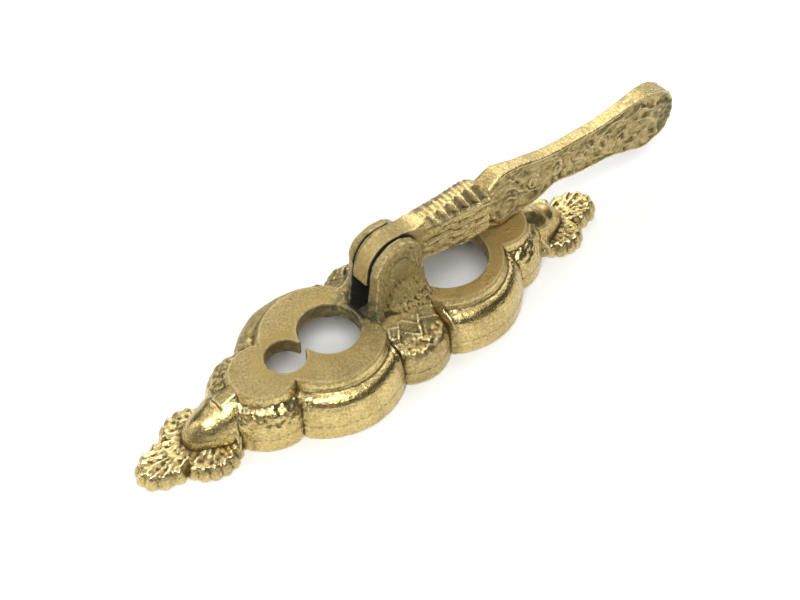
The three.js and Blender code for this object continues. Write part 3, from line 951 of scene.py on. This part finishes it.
def make_lever(step):
    """The lever, with the same numbers."""
    low = (LEVER_LOW[0] - PLATE_X, -4.7, LEVER_LOW[2])
    high = (LEVER_TIP, 4.7, LEVER_HIGH[2])
    piece = sculpt("cast_lever", lever_distance, low, high, step)
    points = add_relief(piece)
    x, y, z = points.T
    edge = -outline_distance(x, z, LEVER_OUTLINE)
    side = step_up(edge, 0.25, 0.8)
    on_blade = step_up(x, 30.5, 32.0)
    on_neck = step_up(x, 10.0, 13.0) * (1.0 - on_blade)
    between = (0.5 - 0.5 * np.cos(2 * math.pi * rib_phase(x, z))) ** 0.8
    cells = on_neck * step_up(z, 30.2, 31.0) * step_up(np.abs(y), 0.9, 1.7) * between
    heel = step_down(x, 4.0, 10.0)
    tip = step_up(x, 84.0, 92.0)
    # Darker on the blade's sides, in the cells between the ribs, and at the heel and the tip.
    tarnish = side * (0.4 * on_blade + 0.05 * on_neck) + 0.5 * cells
    tarnish = tarnish + (1.0 - side) * 0.3 * (heel + tip)
    # The lever's sides deep in the slot are near black: painted shade. The cells between the ribs take the
    # same darkening.
    in_slot = step_up(edge, -0.1, 0.15) * step_up(np.abs(y), 1.9, 2.1)
    in_slot = in_slot * step_down(off_pivot(x, z), 7.6, 8.4)
    damp_tip = step_up(x, 92.0, 98.0) * inside(z, 13.0, 24.0, 3.0)
    spot = ridge(np.hypot(x - 84.0, z - 27.5), 2.4)
    polish = (1.0 - side) * (0.8 - 0.35 * (heel + tip)) + side * (0.75 * on_blade + 0.65 * on_neck)
    add_looks(piece, tarnish=tarnish, soot=in_slot + 0.55 * cells, polish=polish,
              verdigris=0.9 * damp_tip + 0.5 * spot, warmth=0.35 * step_down(x, -5.5, -2.0))
    return piece


PIN_SEGMENTS = 64
PIN_PLAY = 0.02
PIN_TARNISH = 0.5


def make_pin():
    """The pin, turned about its own axis, with slightly domed filed ends."""
    half = (PIN_HIGH[1] - PIN_LOW[1]) / 2
    radius = PIN_RADIUS - PIN_PLAY
    end = [(0.0, half + 0.1), (radius * 0.5, half + 0.07), (radius * 0.85, half - 0.02),
           (radius, half - 0.2)]
    profile = end + [(radius, half * share) for share in (0.6, 0.2, -0.2, -0.6)]
    profile += [(across, -along) for across, along in reversed(end)]
    points, faces = [], []
    for across, along in profile:
        for n in range(PIN_SEGMENTS):
            turn = 2 * math.pi * n / PIN_SEGMENTS
            points.append((PIVOT_X + across * math.cos(turn), along, PIVOT_Z + across * math.sin(turn)))
    for ring, n in itertools.product(range(len(profile) - 1), range(PIN_SEGMENTS)):
        here, there = ring * PIN_SEGMENTS, (ring + 1) * PIN_SEGMENTS
        after = (n + 1) % PIN_SEGMENTS
        faces.append((here + n, here + after, there + after, there + n))
    piece = mesh_object("filed_pin", np.array(points), np.array(faces))
    weld = bmesh.new()
    weld.from_mesh(piece.data)
    bmesh.ops.remove_doubles(weld, verts=weld.verts, dist=1e-6)
    weld.to_mesh(piece.data)
    weld.free()
    for name in ("fine_relief", "broad_relief", "verdigris", "warmth", "soot", "polish"):
        add_attribute(piece, name, np.zeros(len(piece.data.vertices)))
    add_attribute(piece, "tarnish", np.full(len(piece.data.vertices), PIN_TARNISH))
    return piece


# ---------------- materials


class Nodes:
    """A short way to add and join shader nodes."""

    def __init__(self, name):
        self.material = bpy.data.materials.new(name)
        self.material.use_nodes = True
        self.tree = self.material.node_tree
        self.shader = self.tree.nodes["Principled BSDF"]

    def add(self, kind, **settings):
        node = self.tree.nodes.new(kind)
        for key, value in settings.items():
            setattr(node, key, value)
        return node

    def join(self, output, target):
        self.tree.links.new(output, target)

    def number(self, name):
        """A vertex number of the piece."""
        return self.add("ShaderNodeAttribute", attribute_name=name).outputs["Fac"]

    def ramp(self, value, low, high, start=0.0, end=1.0):
        """start where the value is low, end where it is high, smooth between."""
        node = self.add("ShaderNodeMapRange", interpolation_type="SMOOTHSTEP")
        self.join(value, node.inputs["Value"])
        for key, level in zip(("From Min", "From Max", "To Min", "To Max"), (low, high, start, end)):
            node.inputs[key].default_value = level
        return node.outputs["Result"]

    def texture(self, size, detail=4.0, roughness=0.55):
        """Noise on the object itself, with features about `size` metres across."""
        where = self.add("ShaderNodeTexCoord").outputs["Object"]
        node = self.add("ShaderNodeTexNoise")
        self.join(where, node.inputs["Vector"])
        node.inputs["Scale"].default_value = 1.0 / size
        node.inputs["Detail"].default_value = detail
        node.inputs["Roughness"].default_value = roughness
        return node.outputs["Fac"]

    def math(self, kind, a, b):
        node = self.add("ShaderNodeMath", operation=kind)
        for n, value in enumerate((a, b)):
            if isinstance(value, (int, float)):
                node.inputs[n].default_value = value
            else:
                self.join(value, node.inputs[n])
        return node.outputs[0]

    def mix(self, share, a, b):
        node = self.add("ShaderNodeMix", data_type="RGBA")
        for key, value in ((0, share), (6, a), (7, b)):
            if isinstance(value, (int, float)):
                node.inputs[key].default_value = value
            elif isinstance(value, tuple):
                node.inputs[key].default_value = (*value, 1.0)
            else:
                self.join(value, node.inputs[key])
        return node.outputs[2]


# Linear colours, and the height in metres of the grain on cast and on rubbed metal.
CAST_GRAIN, RUBBED_GRAIN = 0.0008, 0.00011
CLEAN = (0.70, 0.54, 0.22)
DULL = (0.52, 0.395, 0.155)
DARK = (0.09, 0.066, 0.025)
# Near black: painted shade in the slot between the ears, also laid in the cells between the lever's ribs.
SLOT_SHADE_BLACK = (0.020, 0.016, 0.009)
# Dark brown for tarnish and for painted shade.
TARNISHED_AND_SHADED = (0.27, 0.205, 0.088)
WARM = (0.62, 0.43, 0.15)
GREEN = (0.075, 0.095, 0.045)
# Bright metal: rubbed wear, and painted glints on raised edges.
WORN_AND_GLINT = (0.92, 0.80, 0.48)


def aged_brass(name):
    """Cast brass: bright where it is rubbed, with painted glints on raised edges, olive brown in the
    hollows, green where it stayed wet and, as painted shade, along the ears' hollows, darker with tarnish
    and painted shade, and near black with painted shade in the slot.
    """
    nodes = Nodes(name)
    fine = nodes.number("fine_relief")
    broad = nodes.number("broad_relief")
    blotch = nodes.texture(0.008, 5.0)
    mottle = nodes.texture(0.0016, 4.0)
    specks = nodes.texture(0.0006, 3.0)

    colour = nodes.mix(nodes.ramp(blotch, 0.38, 0.66), CLEAN, DULL)
    colour = nodes.mix(nodes.ramp(mottle, 0.48, 0.72, 0.0, 0.8), colour, DULL)
    colour = nodes.mix(nodes.ramp(specks, 0.5, 0.66, 0.0, 0.45), colour, TARNISHED_AND_SHADED)
    colour = nodes.mix(nodes.ramp(specks, 0.46, 0.34, 0.0, 0.4), colour, WORN_AND_GLINT)
    # Darker with tarnish, and with painted shade where the piece's numbers put it.
    tarnish = nodes.math("MULTIPLY", nodes.number("tarnish"), nodes.ramp(mottle, 0.3, 0.62, 0.7, 1.25))
    colour = nodes.mix(nodes.math("MINIMUM", tarnish, 1.0), colour, TARNISHED_AND_SHADED)
    warm = nodes.math("MULTIPLY", nodes.number("warmth"), nodes.ramp(mottle, 0.3, 0.62, 0.45, 1.0))
    colour = nodes.mix(warm, colour, WARM)
    hollow = nodes.math("ADD", nodes.ramp(fine, 0.0, -0.085), nodes.ramp(broad, -0.06, -0.5, 0.0, 0.9))
    hollow = nodes.math("MULTIPLY", hollow, nodes.ramp(mottle, 0.25, 0.6, 0.6, 1.0))
    hollow = nodes.math("MINIMUM", hollow, 1.0)
    colour = nodes.mix(hollow, colour, DARK)
    polish = nodes.number("polish")
    # Raised fine relief on rubbed parts is lightened: partly real wear, partly painted glints.
    proud = nodes.math("MULTIPLY", nodes.ramp(fine, 0.025, 0.11), nodes.ramp(polish, 0.0, 0.3, 0.3, 0.85))
    colour = nodes.mix(proud, colour, WORN_AND_GLINT)
    green = nodes.math("MULTIPLY", nodes.number("verdigris"), nodes.ramp(mottle, 0.36, 0.6))
    colour = nodes.mix(green, colour, GREEN)
    # Near black in the slot, which is painted shade, and in the lever's rib cells.
    soot = nodes.number("soot")
    colour = nodes.mix(soot, colour, SLOT_SHADE_BLACK)
    nodes.join(colour, nodes.shader.inputs["Base Color"])

    metal = nodes.math("SUBTRACT", 1.0, nodes.math("MULTIPLY", green, 0.7))
    metal = nodes.math("SUBTRACT", metal, nodes.math("MULTIPLY", hollow, 0.3))
    metal = nodes.math("MULTIPLY", metal, nodes.ramp(soot, 0.0, 1.0, 1.0, 0.2))
    nodes.join(metal, nodes.shader.inputs["Metallic"])
    rough = nodes.ramp(blotch, 0.3, 0.7, 0.28, 0.38)
    dulling = ((hollow, 0.2), (green, 0.25), (tarnish, 0.1), (soot, 0.35), (polish, -0.14))
    for share, weight in dulling:
        rough = nodes.math("ADD", rough, nodes.math("MULTIPLY", share, weight))
    rough = nodes.math("ADD", rough, nodes.ramp(specks, 0.35, 0.7, 0.0, 0.1))
    nodes.join(rough, nodes.shader.inputs["Roughness"])

    cast = nodes.texture(0.0007, 4.0, 0.7)
    pits = nodes.texture(0.0016, 3.0, 0.5)
    height = nodes.math("ADD", cast, nodes.math("MULTIPLY", pits, 0.6))
    bump = nodes.add("ShaderNodeBump")
    bump.inputs["Strength"].default_value = 1.0
    nodes.join(nodes.ramp(polish, 0.0, 1.0, CAST_GRAIN, RUBBED_GRAIN), bump.inputs["Distance"])
    nodes.join(height, bump.inputs["Height"])
    nodes.join(bump.outputs["Normal"], nodes.shader.inputs["Normal"])
    return nodes.material


def floor_material():
    nodes = Nodes("pale_floor")
    nodes.shader.inputs["Base Color"].default_value = (0.9, 0.9, 0.89, 1.0)
    nodes.shader.inputs["Roughness"].default_value = 0.9
    nodes.shader.inputs["Specular IOR Level"].default_value = 0.1
    return nodes.material


# ---------------- stage, lights and camera

LENS_MM = 63.0
SENSOR_MM = 36.0
VIEW_AZIMUTH = math.radians(-41.09)
VIEW_ELEVATION = math.radians(47.92)
CAMERA_FROM_PLATE = Vector((-147.4, -174.8, 264.9)) * MM


def view_axes():
    """Right, up and back of the camera as unit vectors."""
    sin_a, cos_a = math.sin(VIEW_AZIMUTH), math.cos(VIEW_AZIMUTH)
    level, rise = math.cos(VIEW_ELEVATION), math.sin(VIEW_ELEVATION)
    back = Vector((sin_a * level, -cos_a * level, rise))
    right = Vector((cos_a, sin_a, 0.0))
    return right, back.cross(right), back


def add_camera():
    data = bpy.data.cameras.new("camera")
    data.lens = LENS_MM
    data.sensor_width = SENSOR_MM
    data.clip_start = 0.01
    camera = bpy.data.objects.new("camera", data)
    rotation = Matrix(view_axes()).transposed().to_4x4()
    place = CAMERA_FROM_PLATE + Vector((PLATE_X * MM, 0.0, 0.0))
    camera.matrix_world = Matrix.Translation(place) @ rotation
    bpy.context.scene.collection.objects.link(camera)
    bpy.context.scene.camera = camera


FLOOR_HALF = 1.5
FLOOR_GAP = 0.0002  # below the plate's back


def add_floor():
    mesh = bpy.data.meshes.new("floor")
    corners = [(x * FLOOR_HALF, y * FLOOR_HALF, 0.0) for x, y in ((-1, -1), (1, -1), (1, 1), (-1, 1))]
    mesh.from_pydata(corners, [], [(0, 1, 2, 3)])
    floor = bpy.data.objects.new("floor", mesh)
    floor.location.z = -FLOOR_GAP
    floor.data.materials.append(floor_material())
    bpy.context.scene.collection.objects.link(floor)


def add_softbox(name, direction, distance, width, height, radiance):
    """A rectangular light that faces the object. radiance is its brightness where 1 is white."""
    data = bpy.data.lights.new(name, "AREA")
    data.shape = "RECTANGLE"
    data.size, data.size_y = width, height
    data.energy = radiance * math.pi * width * height
    light = bpy.data.objects.new(name, data)
    towards = Vector(direction).normalized()
    light.matrix_world = (Matrix.Translation(towards * distance)
                          @ towards.to_track_quat("Z", "Y").to_matrix().to_4x4())
    bpy.context.scene.collection.objects.link(light)


def add_lights():
    """A key light from the left, and softer panels that the flats, the ears and the lever reflect."""
    add_softbox("key", (-0.34, -0.40, 0.85), 0.9, 0.54, 0.54, 7.4)
    add_softbox("overhead", (0.1, 0.15, 1.0), 1.0, 1.5, 1.5, 0.5)
    add_softbox("left_strip", (-0.8, 0.45, 0.56), 0.9, 0.6, 0.5, 2.0)
    add_softbox("far_fill", (0.55, 0.52, 0.66), 1.0, 1.3, 0.95, 2.0)
    world = bpy.data.worlds.new("studio")
    world.use_nodes = True
    world.node_tree.nodes["Background"].inputs["Color"].default_value = (0.95, 0.97, 1.0, 1.0)
    world.node_tree.nodes["Background"].inputs["Strength"].default_value = 0.09
    bpy.context.scene.world = world
    bpy.context.scene.view_settings.view_transform = "Standard"


# ---------------- the scene


PLATE_STEP, LEVER_STEP = 0.36, 0.27  # grid steps in millimetres


def main():
    add_camera()
    add_floor()
    add_lights()
    coarser = 1.0
    plate = make_plate(PLATE_STEP * coarser)
    lever = make_lever(LEVER_STEP * coarser)
    pin = make_pin()
    looks = [
        (plate, "plate", "backplate", "plate_brass", aged_brass("plate_brass")),
        (lever, "lever", "lever", "lever_brass", aged_brass("lever_brass")),
        (pin, "plate", "pivot_pin", "pin_brass", aged_brass("pin_brass")),
    ]
    for piece, body, node, slot_name, material in looks:
        piece.data.materials.append(material)
        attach(piece, body)
        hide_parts(node)


main()
